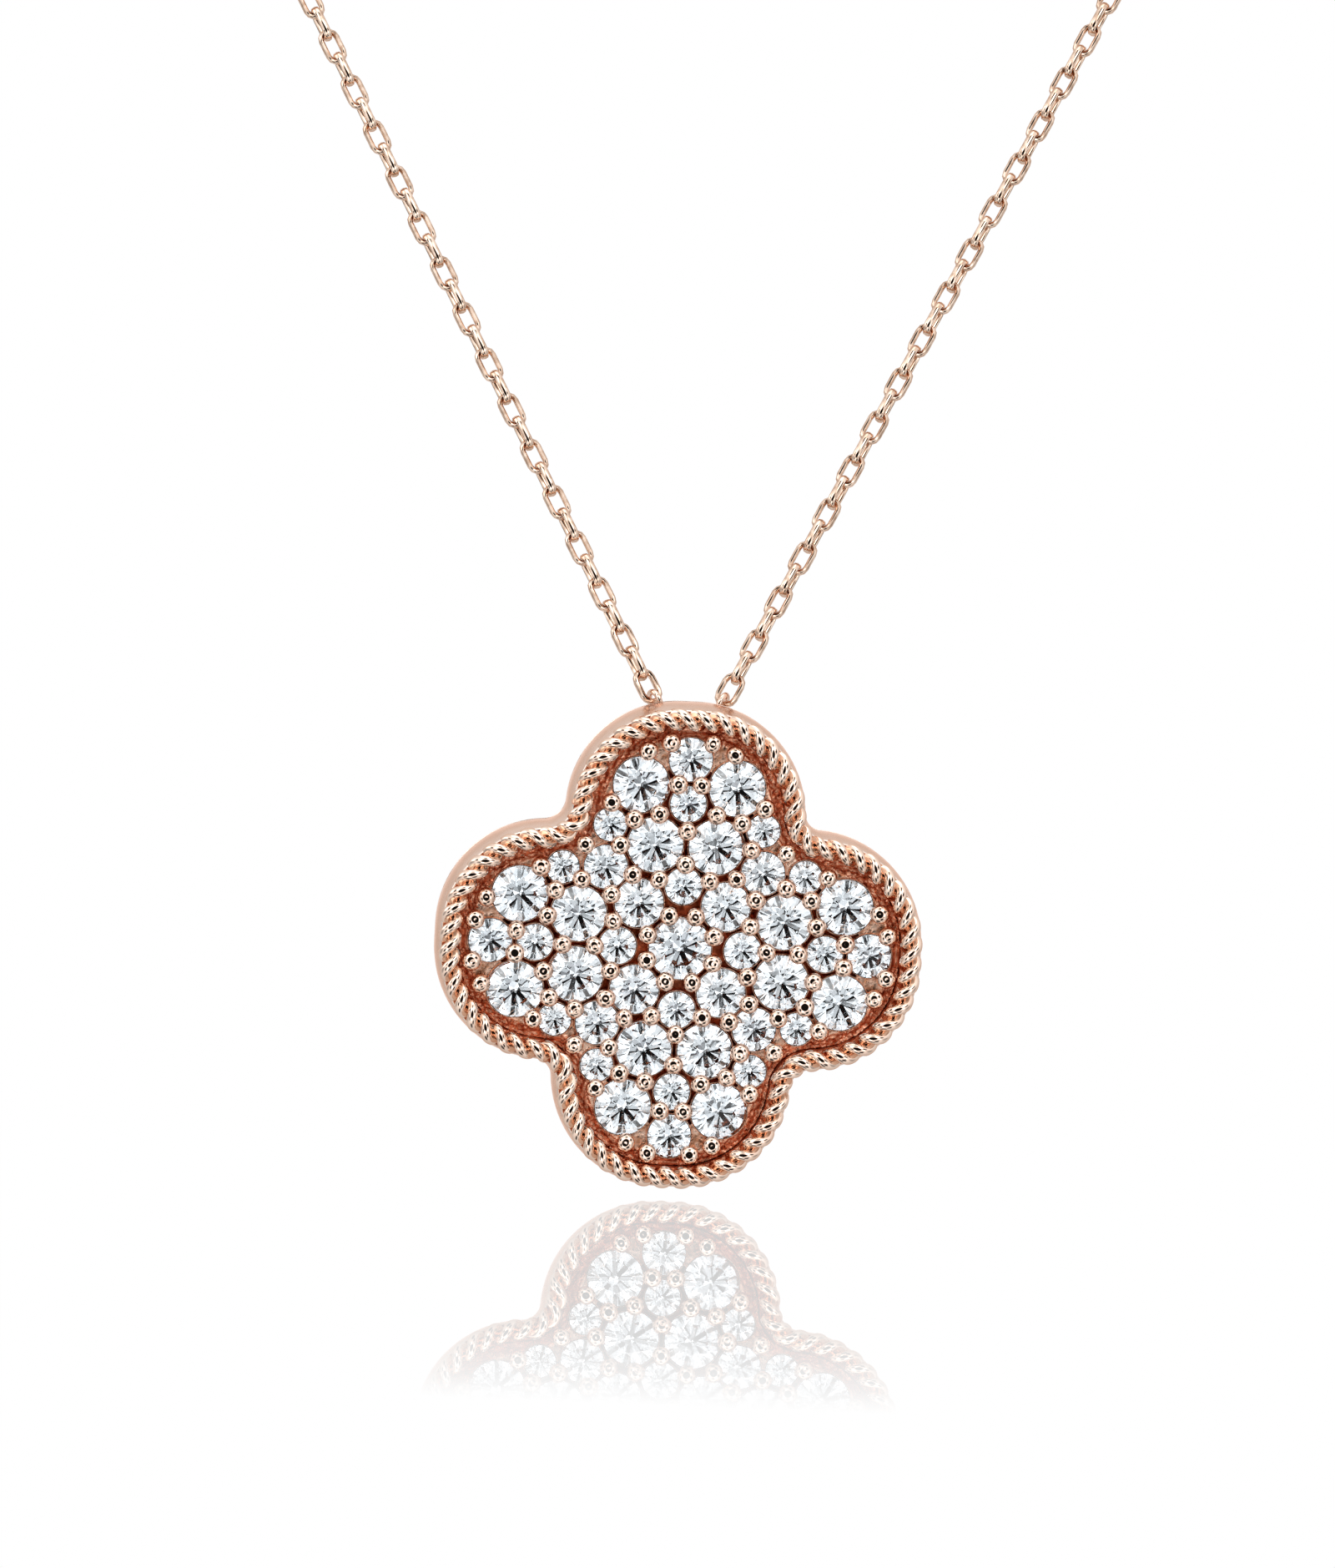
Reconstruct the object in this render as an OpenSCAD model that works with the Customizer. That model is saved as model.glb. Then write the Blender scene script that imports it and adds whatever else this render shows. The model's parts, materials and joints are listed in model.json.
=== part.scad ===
// Four leaf clover pendant on its cable chain, shown as worn, in millimetres.
// The origin is where the clasp rests on the nape. Z is up, and the pendant's face looks along -Y.

/* [Case] */
// Radius of the arcs that round each leaf's two shoulders
leaf_arc_r = 4.97; // [4.90:0.01:5.05]
// Distance of the shoulder arcs' centres from the middle of the clover, along the leaf
leaf_arc_along = 6.00; // [5.95:0.01:6.10]
// Distance of the shoulder arcs' centres from the leaf's middle line
leaf_arc_aside = 0.40; // [0.30:0.01:0.60]
// Radius of the fillet in the notch between two leaves
notch_r = 1.00; // [0.80:0.05:1.20]
// Depth of the case, from the ledge that carries the rope to the back
case_depth = 2.90; // [2.80:0.05:3.60]
// Thickness of the case wall behind the setting
case_wall = 0.60; // [0.50:0.05:0.80]
// Thickness of the back plate
back_t = 0.50; // [0.40:0.05:0.80]
// Rounding of the case's back edge
back_round = 0.45; // [0.30:0.05:0.55]
// Chamfer of the case's front edge
front_chamfer = 0.10; // [0.05:0.01:0.12]

/* [Rope border] */
// Width of the twisted rope border
rope_w = 0.95; // [0.85:0.01:1.00]
// Smooth rim that stays bare outside the rope
rope_rim = 0.12; // [0.12:0.01:0.20]
// Thickness of one strand of the rope
rope_strand = 0.54; // [0.46:0.01:0.56]
// Number of strand crests along one leaf
rope_crests = 19; // [18:1:20]
// Slant of the crests against the border's run, in degrees
rope_slant = 45; // [40:1:50]
// Height of the strands' middle above the ledge
rope_rise = 0.12; // [0.08:0.01:0.16]

/* [Pave setting] */
// Depth of the setting's face below the ledge
pave_drop = 0.45; // [0.42:0.01:0.50]
// Thickness of the plate that the stones sit in
pave_t = 0.85; // [0.70:0.05:1.00]
// Depth of the stones' girdles below the ledge
girdle_drop = 0.32; // [0.28:0.01:0.36]
// Diameter of the beads that hold the stones
bead_d = 0.72; // [0.64:0.01:0.76]
// Depth of the beads' middles below the ledge
bead_drop = 0.25; // [0.22:0.01:0.28]
// Gap between a stone and its seat
seat_gap = 0.03; // [0.02:0.01:0.05]

/* [Stones] */
// Diameter of the stone in the middle
centre_stone_d = 2.80; // [2.70:0.01:2.85]
// Diameter of the stone nearest the middle on each leaf's line
stem_stone_d = 1.66; // [1.60:0.01:1.75]
// Diameter of the inner stones between the leaves
corner_stone_d = 2.20; // [2.10:0.01:2.25]
// Diameter of the outer stones between the leaves
notch_stone_d = 1.95; // [1.85:0.01:2.00]
// Diameter of the pair low in each leaf
low_stone_d = 2.49; // [2.35:0.01:2.52]
// Diameter of the stone in the middle of each leaf
heart_stone_d = 1.62; // [1.55:0.01:1.70]
// Diameter of the pair high in each leaf
high_stone_d = 2.52; // [2.35:0.01:2.56]
// Diameter of the stone at each leaf's tip
tip_stone_d = 1.95; // [1.85:0.01:2.00]
// Diameter of the small stones at each leaf's sides
edge_stone_d = 1.47; // [1.40:0.01:1.55]
// Width of a stone's table, as a share of its girdle
table_share = 0.57; // [0.53:0.01:0.62]
// Height of a stone's crown, as a share of its girdle
crown_share = 0.15; // [0.13:0.01:0.16]
// Thickness of a stone's girdle, as a share of its diameter
girdle_share = 0.03; // [0.02:0.01:0.04]
// Depth of a stone's pavilion, as a share of its girdle
pavilion_share = 0.43; // [0.41:0.01:0.44]

/* [Eyelets] */
// Distance of each eyelet from the pendant's middle line
eyelet_x = 1.53; // [1.40:0.01:1.80]
// Distance of the eyelets' middles behind the case's back
eyelet_back = 0.08; // [0.06:0.01:0.12]
// Distance of the eyelets' middles below the top of the case there
eyelet_drop = 0.02; // [0.00:0.01:0.04]
// Diameter of each eyelet, from the middle of its wire
eyelet_d = 0.90; // [0.88:0.01:0.96]
// Thickness of the eyelets' wire
eyelet_wire = 0.26; // [0.22:0.01:0.28]
// Tilt at which the pendant hangs at rest, in degrees
hang_tilt = 8.2; // [0:0.1:12]

/* [Chain] */
// Length of a link
link_len = 1.77; // [1.71:0.02:1.89]
// Width of a link
link_w = 0.96; // [0.88:0.02:1.04]
// Thickness of a link's wire
link_wire = 0.24; // [0.20:0.02:0.24]
// Width of the last link of each strand, which holds the eyelet
end_link_w = 1.10; // [1.06:0.02:1.20]
// Gap between a link and the next one that it holds
link_gap = 0.10; // [0.10:0.01:0.14]
// Turn of the links about their strand, in degrees
link_turn = 17; // [0:1:20]
// Length of each strand that is made link by link, from its eyelet
linked_len = 86.5; // [60:0.5:87]
// Spread of each strand from the middle line, in degrees
strand_spread = 27.6; // [26.6:0.1:28.6]
// Lean of the strands towards the neck, in degrees
strand_lean = 15.5; // [14:0.1:17]
// Thickness of the stretch behind the neck
back_chain_d = 0.90; // [0.80:0.02:1.00]

/* [Clasp] */
// Diameter of the clasp's ring, from the middle of its wire
clasp_d = 4.80; // [4.60:0.1:5.00]
// Thickness of the clasp's wire
clasp_wire = 1.00; // [0.80:0.05:1.20]
// Diameter of the eye at each side of the clasp, from the middle of its wire
clasp_eye_d = 1.30; // [1.20:0.05:1.40]
// Thickness of the eyes' wire
clasp_eye_wire = 0.44; // [0.40:0.02:0.50]

/* [Hidden] */
$fn = 32;
ROSE = [0.87, 0.62, 0.50];
STONE = [0.86, 0.91, 0.95];

// Places of the stones on the leaf that points up: how far along the leaf and how far to its side
// each one lies, as shares of the leaf's reach, with its diameter. A stone that lies aside has a twin.
STONE_ROWS = [
    ["stem_stone", 0.2581, 0, stem_stone_d],
    ["corner_stone", 0.1794, 0.1794, corner_stone_d],
    ["notch_stone", 0.3248, 0.3248, notch_stone_d],
    ["low_stone", 0.4252, 0.1262, low_stone_d],
    ["heart_stone", 0.5987, 0, heart_stone_d],
    ["high_stone", 0.6720, 0.1985, high_stone_d],
    ["tip_stone", 0.7840, 0, tip_stone_d],
    ["edge_stone", 0.5012, 0.3168, edge_stone_d]
];
// Places of the beads, as shares of the leaf's reach: along the leaf, and to its side
BEAD_ROWS = [
    [0.137, 0.055],
    [0.284, 0.106],
    [0.354, 0],
    [0.297, 0.216],
    [0.487, 0],
    [0.558, 0.116],
    [0.679, 0.047],
    [0.855, 0.088],
    [0.814, 0.179],
    [0.529, 0.222],
    [0.594, 0.319],
    [0.423, 0.271],
    [0.415, 0.415]
];
LEAVES = [0:3];

function unit(v) = v / norm(v);
function turned(p, a) = [p[0] * cos(a) - p[1] * sin(a), p[0] * sin(a) + p[1] * cos(a)];
function row_along(row) = row[1];
function row_aside(row) = row[2];
// A place on a leaf's middle line or between two leaves has one copy a leaf, any other has two
function sides(along, aside) = aside == 0 || aside == along ? [1] : [-1, 1];
function side_letter(along, aside, side) = len(sides(along, aside)) == 1 ? "" : side < 0 ? "a" : "b";

leaf_reach = leaf_arc_along + leaf_arc_r;
STONES = concat(
    [["centre_stone", [0, 0], centre_stone_d]],
    [
        for (row = STONE_ROWS, leaf = LEAVES, side = sides(row_along(row), row_aside(row)))
        let (name = str(row[0], "_", leaf + 1, side_letter(row_along(row), row_aside(row), side)))
        [name, turned([side * row_aside(row), row_along(row)] * leaf_reach, 90 * leaf), row[3]]
    ]
);
BEADS = [
    for (row = BEAD_ROWS, leaf = LEAVES, side = sides(row[0], row[1]))
    turned([side * row[1], row[0]] * leaf_reach, 90 * leaf)
];

// Outline of the clover as stations: a centre, a signed radius and the outward direction, so that
// the same stations give the outline at any offset
arc_steps = 10;
notch_steps = 5;
between = leaf_arc_along + leaf_arc_aside;
reach_sq = pow(leaf_arc_r + notch_r, 2);
notch_at = (between + sqrt(pow(between, 2)
    - 2 * (pow(leaf_arc_along, 2) + pow(leaf_arc_aside, 2) - reach_sq))) / 2;
notch_a = atan2(notch_at - leaf_arc_along, notch_at - leaf_arc_aside);
function heading(a) = [cos(a), sin(a)];
function station(centre, radius, a) = [centre, radius, heading(a)];
function leaf_stations() = concat(
    [
        for (i = [0:arc_steps])
        station([leaf_arc_aside, leaf_arc_along], leaf_arc_r, notch_a + (90 - notch_a) * i / arc_steps)
    ],
    [
        for (i = [0:arc_steps])
        station([-leaf_arc_aside, leaf_arc_along], leaf_arc_r, 90 + (90 - notch_a) * i / arc_steps)
    ],
    [
        for (i = [1:notch_steps - 1])
        station([-notch_at, notch_at], -notch_r, 180 - notch_a - (90 - 2 * notch_a) * i / notch_steps)
    ]
);
STATIONS = [
    for (leaf = LEAVES, s = leaf_stations())
    [turned(s[0], 90 * leaf), s[1], turned(s[2], 90 * leaf)]
];
function outline(offset) = [for (s = STATIONS) s[0] + (s[1] + offset) * s[2]];
// Height of the case's top above the middle of the clover, at a distance from the middle line
function top_at(x) = leaf_arc_along + sqrt(pow(leaf_arc_r, 2) - pow(x - leaf_arc_aside, 2));

// Levels in the face's frame: x to the right, y up, z towards the viewer, with the ledge at z = 0
ledge_w = rope_rim + rope_w;
pave_back = -pave_drop - pave_t;
thick_wall_back = pave_back - 0.2;
thin_wall_front = thick_wall_back - (ledge_w - case_wall) / 2;
plate_edge = -(rope_rim + 0.8 * rope_w);

// Profile of the case wall as offset and height, from the back round the outside to the inner floor
round_steps = 3;
WALL_PROFILE = concat(
    [
        for (i = [round_steps:-1:0])
        let (a = 90 * i / round_steps)
        [back_round * (cos(a) - 1), back_round * (1 - sin(a)) - case_depth]
    ],
    [
        [0, -front_chamfer],
        [-front_chamfer, 0],
        [-ledge_w, 0],
        [-ledge_w, thick_wall_back],
        [-case_wall, thin_wall_front],
        [-case_wall, back_t - case_depth]
    ]
);

// Run of the rope's middle over half a leaf: a straight stretch, a shoulder arc and half a notch
rope_offset = -(rope_rim + rope_w / 2);
shoulder_r = leaf_arc_r + rope_offset;
hollow_r = notch_r - rope_offset;
shoulder_len = shoulder_r * (90 - notch_a) * PI / 180;
hollow_len = hollow_r * (45 - notch_a) * PI / 180;
half_run = leaf_arc_aside + shoulder_len + hollow_len;
// Place and heading of the rope at a distance from the leaf's tip, on its right half
function rope_right(d) =
    d < leaf_arc_aside ? [[d, leaf_arc_along + shoulder_r], 0] :
    d < leaf_arc_aside + shoulder_len ?
        let (a = 90 - (d - leaf_arc_aside) / shoulder_r * 180 / PI)
        [[leaf_arc_aside, leaf_arc_along] + shoulder_r * heading(a), a - 90] :
        let (a = notch_a + (d - leaf_arc_aside - shoulder_len) / hollow_r * 180 / PI)
        [[notch_at, notch_at] - hollow_r * heading(a), a - 90];
function rope_at(d) =
    let (half = rope_right(abs(d)))
    d < 0 ? [[-half[0][0], half[0][1]], -half[1]] : half;

// Where the pendant hangs, in the frame of the whole necklace
HINGE = [0, -112, -107];
hinge_up = top_at(eyelet_x) - eyelet_drop;
hinge_back = case_depth + eyelet_back;

// Route of the right-hand strand behind its links, as points chosen by hand
NECK_ROUTE = [
    [43.5, -89, -26],
    [47, -83, -19],
    [50.5, -73, -12.5],
    [53, -61, -7.5],
    [54, -47, -4],
    [52.5, -33, -1.5],
    [48, -20.5, -0.5],
    [40, -11, 0],
    [30, -5, 0],
    [19, -1.5, 0],
    [10, 0, 0]
];
rings_per_span = 3;
tube_sides = 8;
tube_gap = 0.15;

// Directions of the right-hand strand: along it, and across its flat links
strand_dir = unit([tan(strand_spread), tan(strand_lean), 1]);
strand_out = unit([0, strand_dir[2], -strand_dir[1]]);
strand_side = cross(strand_out, strand_dir);
link_side = strand_side * cos(link_turn) - strand_out * sin(link_turn);
link_out = strand_out * cos(link_turn) + strand_side * sin(link_turn);
link_pitch = link_len - 2 * link_wire - link_gap;
first_link_at = (link_len - link_wire) / 2;
link_count = floor((linked_len - first_link_at - link_len / 2) / link_pitch) + 1;
strand_foot = HINGE + [eyelet_x, 0, 0];
tube_start = first_link_at + (link_count - 1) * link_pitch + link_len / 2 + tube_gap;
clasp_eye_x = (clasp_d + clasp_wire + clasp_eye_d) / 2;
tube_end = clasp_eye_x + (clasp_eye_d + clasp_eye_wire) / 2 + tube_gap;
TUBE_POINTS = concat([strand_foot + tube_start * strand_dir], NECK_ROUTE, [[tube_end, 0, 0]]);

// Stands a shape that is drawn in the face's frame where the pendant hangs
module hung() {
    translate(HINGE) rotate([hang_tilt, 0, 0]) translate([0, -hinge_back, -hinge_up])
        rotate([90, 0, 0]) children();
}

// Points a shape's x, y and z axes along three directions at a place
module set_at(p, x, y, z) {
    multmatrix([
        [x[0], y[0], z[0], p[0]],
        [x[1], y[1], z[1], p[1]],
        [x[2], y[2], z[2], p[2]]
    ]) children();
}

// Case as a cup: its rings of points follow the wall's profile, with a point in the middle of the
// back and one in the middle of the inner floor
module case_cup() {
    count = len(STATIONS);
    levels = len(WALL_PROFILE);
    back_point = count * levels;
    floor_point = back_point + 1;
    rings = [for (p = WALL_PROFILE, q = outline(p[0])) [q[0], q[1], p[1]]];
    wall_faces = [
        for (k = [0:levels - 2], i = [0:count - 1])
        let (j = (i + 1) % count)
        [k * count + i, (k + 1) * count + i, (k + 1) * count + j, k * count + j]
    ];
    back_faces = [for (i = [0:count - 1]) [back_point, i, (i + 1) % count]];
    last = (levels - 1) * count;
    floor_faces = [for (i = [0:count - 1]) [floor_point, last + (i + 1) % count, last + i]];
    polyhedron(
        points = concat(rings, [[0, 0, -case_depth], [0, 0, back_t - case_depth]]),
        faces = concat(wall_faces, back_faces, floor_faces)
    );
}

// One slanting crest of the rope, with round ends
module rope_crest() {
    straight = (rope_w - rope_strand) / sin(rope_slant);
    rotate([0, 90, -rope_slant]) {
        cylinder(h = straight, d = rope_strand, center = true);
        for (end = [-1, 1]) translate([0, 0, end * straight / 2]) sphere(d = rope_strand);
    }
}

module rope() {
    pitch = 2 * half_run / rope_crests;
    for (leaf = LEAVES, k = [0:rope_crests - 1]) {
        at = rope_at((k + 0.5) * pitch - half_run);
        rotate(90 * leaf) translate([at[0][0], at[0][1], rope_rise]) rotate(at[1]) rope_crest();
    }
}

// Round brilliant with its girdle's top at z = 0: a table, a crown, a girdle and a pavilion
module brilliant(d) {
    r = d / 2;
    table_r = r * table_share;
    crown_h = d * crown_share;
    girdle_h = d * girdle_share;
    pavilion_h = d * pavilion_share;
    star_r = (table_r * cos(22.5) + r) / 2;
    star_z = crown_h * (r - star_r * cos(22.5)) / (r - table_r);
    lower_r = 0.22 * r;
    lower_z = -girdle_h - pavilion_h * (1 - lower_r * cos(22.5) / r);
    tables = [for (k = [0:7]) [table_r * cos(45 * k), table_r * sin(45 * k), crown_h]];
    stars = [for (k = [0:7]) [star_r * cos(45 * k + 22.5), star_r * sin(45 * k + 22.5), star_z]];
    uppers = [for (k = [0:15]) [r * cos(22.5 * k), r * sin(22.5 * k), 0]];
    lowers = [for (k = [0:15]) [r * cos(22.5 * k), r * sin(22.5 * k), -girdle_h]];
    mains = [for (k = [0:7]) [lower_r * cos(45 * k + 22.5), lower_r * sin(45 * k + 22.5), lower_z]];
    culet = 56;
    function t(k) = k % 8;
    function s(k) = 8 + (k + 8) % 8;
    function g(k) = 16 + k % 16;
    function b(k) = 32 + k % 16;
    function m(k) = 48 + (k + 8) % 8;
    polyhedron(
        points = concat(tables, stars, uppers, lowers, mains, [[0, 0, -girdle_h - pavilion_h]]),
        faces = concat(
            [[for (k = [7:-1:0]) t(k)]],
            [for (k = [0:7]) [t(k + 1), s(k), t(k)]],
            [for (k = [0:7]) [s(k), g(2 * k), s(k - 1), t(k)]],
            [for (k = [0:7]) [g(2 * k + 1), g(2 * k), s(k)]],
            [for (k = [0:7]) [g(2 * k + 2), g(2 * k + 1), s(k)]],
            [for (k = [0:15]) [g(k + 1), b(k + 1), b(k), g(k)]],
            [for (k = [0:7]) [m(k), b(2 * k), b(2 * k + 1)]],
            [for (k = [0:7]) [m(k), b(2 * k + 1), b(2 * k + 2)]],
            [for (k = [0:7]) [culet, m(k - 1), b(2 * k), m(k)]]
        )
    );
}

// Room for a stone: its crown, its girdle, the bearing under it and the hole drilled through
module seat(d) {
    r = d / 2;
    above = 1;
    bearing = 0.2;
    rotate_extrude() polygon([
        [0, above],
        [r * table_share + seat_gap, above],
        [r * table_share + seat_gap, d * crown_share + seat_gap],
        [r + seat_gap, seat_gap],
        [r + seat_gap, -d * girdle_share - seat_gap / 2],
        [r * (1 - bearing) + seat_gap, -d * (girdle_share + bearing * pavilion_share)],
        [r * (1 - bearing) + seat_gap, pave_back - 1],
        [0, pave_back - 1]
    ]);
}

// Plate with its beads, bored for the stones
module pave() {
    difference() {
        union() {
            translate([0, 0, pave_back]) linear_extrude(pave_t) polygon(outline(plate_edge));
            for (p = BEADS) translate([p[0], p[1], -bead_drop]) sphere(d = bead_d);
        }
        for (s = STONES) translate([s[1][0], s[1][1], -girdle_drop]) seat(s[2]);
    }
}

module eyelet() {
    set_at(strand_foot, link_out, strand_dir, link_side)
        rotate_extrude() translate([eyelet_d / 2, 0]) circle(d = eyelet_wire);
}

module setting() {
    color(ROSE) union() {
        hung() {
            case_cup();
            pave();
            rope();
        }
        eyelet();
        mirror([1, 0, 0]) eyelet();
    }
}

module stone(s) {
    color(STONE) hung() translate([s[1][0], s[1][1], -girdle_drop]) brilliant(s[2]);
}

// Oval link round its middle, long along z and flat across y
module link(width) {
    bend_r = (width - link_wire) / 2;
    leg = (link_len - link_wire) / 2 - bend_r;
    for (turn = [0, 180]) rotate([0, turn, 0]) {
        translate([0, 0, leg]) rotate([90, 0, 0])
            rotate_extrude(angle = 180) translate([bend_r, 0]) circle(d = link_wire);
        translate([bend_r, 0, -leg]) cylinder(h = 2 * leg, d = link_wire);
    }
}

module chain_right_front() {
    color(ROSE) for (k = [0:link_count - 1]) {
        at = strand_foot + (first_link_at + k * link_pitch) * strand_dir;
        set_at(at, link_side, link_out, strand_dir)
            rotate(90 * (k % 2)) link(k == 0 ? end_link_w : link_w);
    }
}

// Smooth curve through the route's points
function curve(p0, p1, p2, p3, u) =
    0.5 * (2 * p1 + (p2 - p0) * u + (2 * p0 - 5 * p1 + 4 * p2 - p3) * u * u
    + (3 * p1 - p0 - 3 * p2 + p3) * u * u * u);
function route_point(pts, i, u) =
    let (last = len(pts) - 1)
    curve(
        i == 0 ? 2 * pts[0] - pts[1] : pts[i - 1],
        pts[i],
        pts[i + 1],
        i + 2 > last ? 2 * pts[last] - pts[last - 1] : pts[i + 2],
        u
    );

module chain_right_back() {
    spans = len(TUBE_POINTS) - 1;
    path = concat(
        [for (i = [0:spans - 1], k = [0:rings_per_span - 1]) route_point(TUBE_POINTS, i, k / rings_per_span)],
        [TUBE_POINTS[spans]]
    );
    last = len(path) - 1;
    rings = [
        for (i = [0:last])
        let (
            along = i == 0 ? strand_dir : i == last ? [-1, 0, 0] : unit(path[i + 1] - path[i - 1]),
            across = unit(cross(along, [0, 0, 1])),
            up = cross(across, along)
        )
        for (k = [0:tube_sides - 1])
        let (a = 360 * k / tube_sides)
        path[i] + back_chain_d / 2 * (across * cos(a) + up * sin(a))
    ];
    walls = [
        for (i = [0:last - 1], k = [0:tube_sides - 1])
        let (j = (k + 1) % tube_sides, a = i * tube_sides, b = a + tube_sides)
        [a + k, a + j, b + j, b + k]
    ];
    color(ROSE) polyhedron(
        points = rings,
        faces = concat(
            [[for (k = [tube_sides - 1:-1:0]) k]],
            walls,
            [[for (k = [0:tube_sides - 1]) last * tube_sides + k]]
        )
    );
}

module clasp() {
    color(ROSE) translate([0, clasp_wire / 2, 0]) rotate([90, 0, 0]) {
        rotate_extrude() translate([clasp_d / 2, 0]) circle(d = clasp_wire);
        for (side = [-1, 1]) translate([side * clasp_eye_x, 0, 0])
            rotate_extrude() translate([clasp_eye_d / 2, 0]) circle(d = clasp_eye_wire);
    }
}

setting();
for (s = STONES) stone(s);
mirror([1, 0, 0]) chain_right_front();  // chain_left_front
mirror([1, 0, 0]) chain_right_back();  // chain_left_back
chain_right_front();
chain_right_back();
clasp();
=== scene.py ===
import json
import math
import random

import bmesh
import bpy
from mathutils import Matrix, Vector


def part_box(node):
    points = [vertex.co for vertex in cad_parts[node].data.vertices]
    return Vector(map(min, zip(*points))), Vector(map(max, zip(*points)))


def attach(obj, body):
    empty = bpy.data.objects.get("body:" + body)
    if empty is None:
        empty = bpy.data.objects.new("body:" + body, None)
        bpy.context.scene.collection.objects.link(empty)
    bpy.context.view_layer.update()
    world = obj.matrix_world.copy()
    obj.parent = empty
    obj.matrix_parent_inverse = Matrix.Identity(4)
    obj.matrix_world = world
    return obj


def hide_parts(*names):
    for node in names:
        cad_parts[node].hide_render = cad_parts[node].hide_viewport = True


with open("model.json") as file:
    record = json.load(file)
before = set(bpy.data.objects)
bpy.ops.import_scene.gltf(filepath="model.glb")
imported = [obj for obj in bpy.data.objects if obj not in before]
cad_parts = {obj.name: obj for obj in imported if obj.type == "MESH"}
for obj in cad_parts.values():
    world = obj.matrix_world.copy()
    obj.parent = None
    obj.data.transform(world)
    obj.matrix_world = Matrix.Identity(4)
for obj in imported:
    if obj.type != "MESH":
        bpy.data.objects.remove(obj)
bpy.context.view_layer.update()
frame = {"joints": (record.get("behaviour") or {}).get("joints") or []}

scene = bpy.context.scene
MM = 0.001

# Sizes of the clover's case and its stones, in millimetres, as the part's source has them
SHOULDER_R, SHOULDER_ALONG, SHOULDER_ASIDE = 4.97, 6.00, 0.40
NOTCH_R = 1.00
CASE_DEPTH = 2.90
LEAF_REACH = SHOULDER_ALONG + SHOULDER_R
GIRDLE_DROP, CENTRE_STONE_D = 0.32, 2.80
EYELET_X, EYELET_D, EYELET_WIRE = 1.53, 0.90, 0.26
EYELET_BACK, EYELET_DROP = 0.08, 0.02

# Shares of a stone's diameter
TABLE, CROWN, GIRDLE, PAVILION = 0.57, 0.15, 0.03, 0.43

# The rope border: offset of its middle line from the outline, height, twists, and one strand's section.
# Its lobes are rounder than the source's and stand a little further out, up to the case's outline.
ROPE_MIDDLE, ROPE_RISE, ROPE_TURNS = -0.530, -0.085, 38
STRAND_ACROSS, STRAND_AROUND, STRAND_APART = 0.275, 0.345, 0.25
STRAND_SIDES, STEPS_A_TURN = 12, 18

# Sizes of the chain and the clasp, as the source has them, and the play of the last link in its eye
LINK_LEN, LINK_WIRE, END_LINK_W, LINK_GAP = 1.77, 0.24, 1.10, 0.10
LINK_TURN, FRONT_LINKS, TUBE_GAP = 17, 72, 0.15
LINK_PITCH = LINK_LEN - 2 * LINK_WIRE - LINK_GAP
HALF_LINK = (LINK_LEN - LINK_WIRE) / 2
TUBE_START = HALF_LINK + (FRONT_LINKS - 1) * LINK_PITCH + LINK_LEN / 2 + TUBE_GAP
STRAND_SPREAD, STRAND_LEAN = 27.6, 15.5
CLASP_D, CLASP_WIRE, CLASP_EYE_D, CLASP_EYE_WIRE = 4.80, 1.00, 1.30, 0.44
CAUGHT_GAP = 0.06
NECK_ROUTE = [
    (43.5, -89, -26), (47, -83, -19), (50.5, -73, -12.5), (53, -61, -7.5), (54, -47, -4),
    (52.5, -33, -1.5), (48, -20.5, -0.5), (40, -11, 0), (30, -5, 0), (19, -1.5, 0), (10, 0, 0),
]

# The drawn links' own width and flattened wire, and how they lie: play of each, in degrees, and the
# roll of the left strand, which grows over its first links and fades after the front ones
DRAWN_W, DRAWN_WIRE, DRAWN_FLAT = 1.02, 0.26, 0.37
WIRE_SIDES, BEND_STEPS, ROUTE_STEPS = 8, 6, 40
LINK_PLAY, LEFT_ROLL, ROLL_GROWS, ROLL_FADES = 4, -12, 6, 12

# Stones of the leaf that points up: name, share of the reach along the leaf and aside, diameter
STONE_ROWS = [
    ("stem_stone", 0.2581, 0, 1.66),
    ("corner_stone", 0.1794, 0.1794, 2.20),
    ("notch_stone", 0.3248, 0.3248, 1.95),
    ("low_stone", 0.4252, 0.1262, 2.49),
    ("heart_stone", 0.5987, 0, 1.62),
    ("high_stone", 0.6720, 0.1985, 2.52),
    ("tip_stone", 0.7840, 0, 1.95),
    ("edge_stone", 0.5012, 0.3168, 1.47),
]

# Beads of the same leaf: share of the reach along the leaf and aside
BEAD_ROWS = [
    (0.137, 0.055), (0.284, 0.106), (0.354, 0), (0.297, 0.216), (0.487, 0), (0.558, 0.116),
    (0.679, 0.047), (0.855, 0.088), (0.814, 0.179), (0.529, 0.222), (0.594, 0.319),
    (0.423, 0.271), (0.415, 0.415),
]

# Cosine and sine of the quarter turns that take the upper leaf on to each leaf
QUARTER_TURNS = [(1, 0), (0, 1), (-1, 0), (0, -1)]


def turned(along, aside, leaf):
    """A place on the upper leaf, turned on to another leaf, in millimetres in the face's frame."""
    x, y = aside * LEAF_REACH, along * LEAF_REACH
    c, s = QUARTER_TURNS[leaf]
    return Vector((x * c - y * s, x * s + y * c, 0))


def both_sides(along, aside):
    """The sides of a leaf that a row has: one where it lies on the leaf's middle or between two leaves."""
    return [1] if aside in (0, along) else [-1, 1]


def stone_places():
    """Name, place and diameter of every stone."""
    stones = [("centre_stone", Vector((0, 0, 0)), CENTRE_STONE_D)]
    for kind, along, aside, size in STONE_ROWS:
        for leaf in range(4):
            for side in both_sides(along, aside):
                letter = "" if len(both_sides(along, aside)) == 1 else "a" if side < 0 else "b"
                stones.append((f"{kind}_{leaf + 1}{letter}", turned(along, side * aside, leaf), size))
    return stones


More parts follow.
